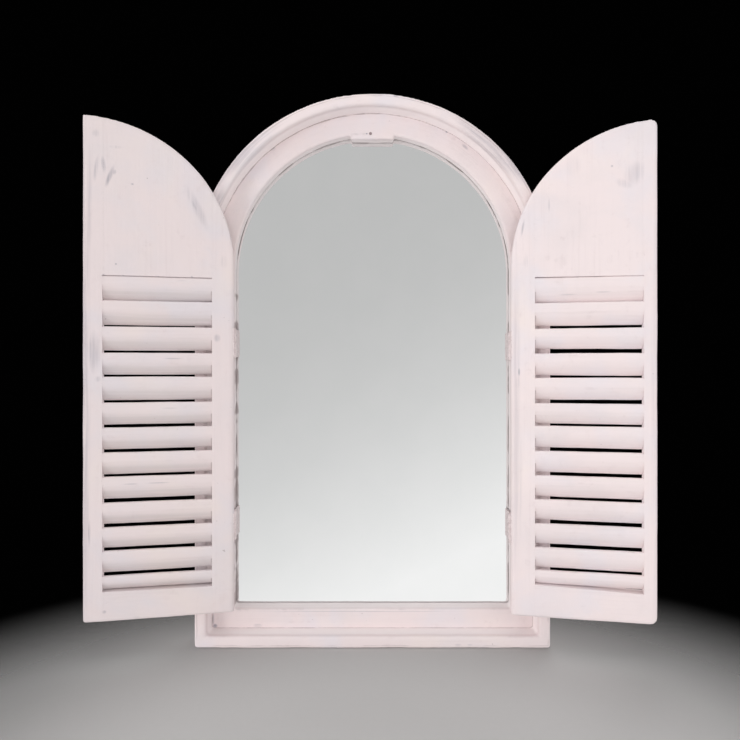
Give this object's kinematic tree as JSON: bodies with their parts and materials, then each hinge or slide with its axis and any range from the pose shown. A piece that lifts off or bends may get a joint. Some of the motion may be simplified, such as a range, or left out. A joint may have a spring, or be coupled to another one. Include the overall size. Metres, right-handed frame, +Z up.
{
  "type": "window frame mirror",
  "caption": "Arched wall mirror in a whitewashed wooden window frame, with louvred shutters hinged at both sides.",
  "frame": {"origin": "the hanging point, in the plane of the frame's back at the middle of the sawtooth hanger; the frame's bottom edge is 593 mm below it", "axes": "+Z up, +Y into the wall, +X to the right as seen from the front; the glass faces -Y"},
  "size_m": [0.5914, 0.082, 0.6],
  "materials": {
    "whitewashed_wood": "matt pinkish whitewash over wood, worn on the edges with grey wood showing",
    "mirror_glass": "silvered flat glass",
    "hardboard": "bare brown hardboard",
    "painted_hinge": "small steel butt hinge painted over with the whitewash",
    "zinc_steel": "plain zinc plated steel"
  },
  "bodies": {
    "frame": {"outer_bottom": "whitewashed_wood", "outer_side_left": "whitewashed_wood", "outer_side_right": "whitewashed_wood", "outer_arch": "whitewashed_wood", "ledge_sill": "whitewashed_wood", "ledge_stile_left": "whitewashed_wood", "ledge_stile_right": "whitewashed_wood", "ledge_arch_left": "whitewashed_wood", "ledge_arch_crown": "whitewashed_wood", "ledge_arch_right": "whitewashed_wood", "crown_stop": "whitewashed_wood", "mirror_glass": "mirror_glass", "back_board": "hardboard", "sawtooth_hanger": "zinc_steel", "frame_leaf_left_lower": "painted_hinge", "frame_leaf_left_upper": "painted_hinge", "frame_leaf_right_lower": "painted_hinge", "frame_leaf_right_upper": "painted_hinge", "hinge_pin_left_lower": "painted_hinge", "hinge_pin_left_upper": "painted_hinge", "hinge_pin_right_lower": "painted_hinge", "hinge_pin_right_upper": "painted_hinge"},
    "left_shutter": {"left_hinge_stile": "whitewashed_wood", "left_meeting_stile": "whitewashed_wood", "left_top_panel": "whitewashed_wood", "left_bottom_rail": "whitewashed_wood", "left_slat_01": "whitewashed_wood", "left_slat_02": "whitewashed_wood", "left_slat_03": "whitewashed_wood", "left_slat_04": "whitewashed_wood", "left_slat_05": "whitewashed_wood", "left_slat_06": "whitewashed_wood", "left_slat_07": "whitewashed_wood", "left_slat_08": "whitewashed_wood", "left_slat_09": "whitewashed_wood", "left_slat_10": "whitewashed_wood", "left_slat_11": "whitewashed_wood", "left_slat_12": "whitewashed_wood", "left_slat_13": "whitewashed_wood", "shutter_leaf_left_lower": "painted_hinge", "shutter_leaf_left_upper": "painted_hinge"},
    "right_shutter": {"right_hinge_stile": "whitewashed_wood", "right_meeting_stile": "whitewashed_wood", "right_top_panel": "whitewashed_wood", "right_bottom_rail": "whitewashed_wood", "right_slat_01": "whitewashed_wood", "right_slat_02": "whitewashed_wood", "right_slat_03": "whitewashed_wood", "right_slat_04": "whitewashed_wood", "right_slat_05": "whitewashed_wood", "right_slat_06": "whitewashed_wood", "right_slat_07": "whitewashed_wood", "right_slat_08": "whitewashed_wood", "right_slat_09": "whitewashed_wood", "right_slat_10": "whitewashed_wood", "right_slat_11": "whitewashed_wood", "right_slat_12": "whitewashed_wood", "right_slat_13": "whitewashed_wood", "shutter_leaf_right_lower": "painted_hinge", "shutter_leaf_right_upper": "painted_hinge"}
  },
  "joints": [
    {"name": "left_shutter_hinge", "type": "hinge", "parent": "frame", "child": "left_shutter", "pos_m": [-0.1497, -0.0372, -0.36365], "axis": [0, 0, 1], "range_deg": [-2, 168.5]},
    {"name": "right_shutter_hinge", "type": "hinge", "parent": "frame", "child": "right_shutter", "pos_m": [0.1497, -0.0372, -0.36365], "axis": [0, 0, -1], "range_deg": [-1, 169.6]}
  ]
}
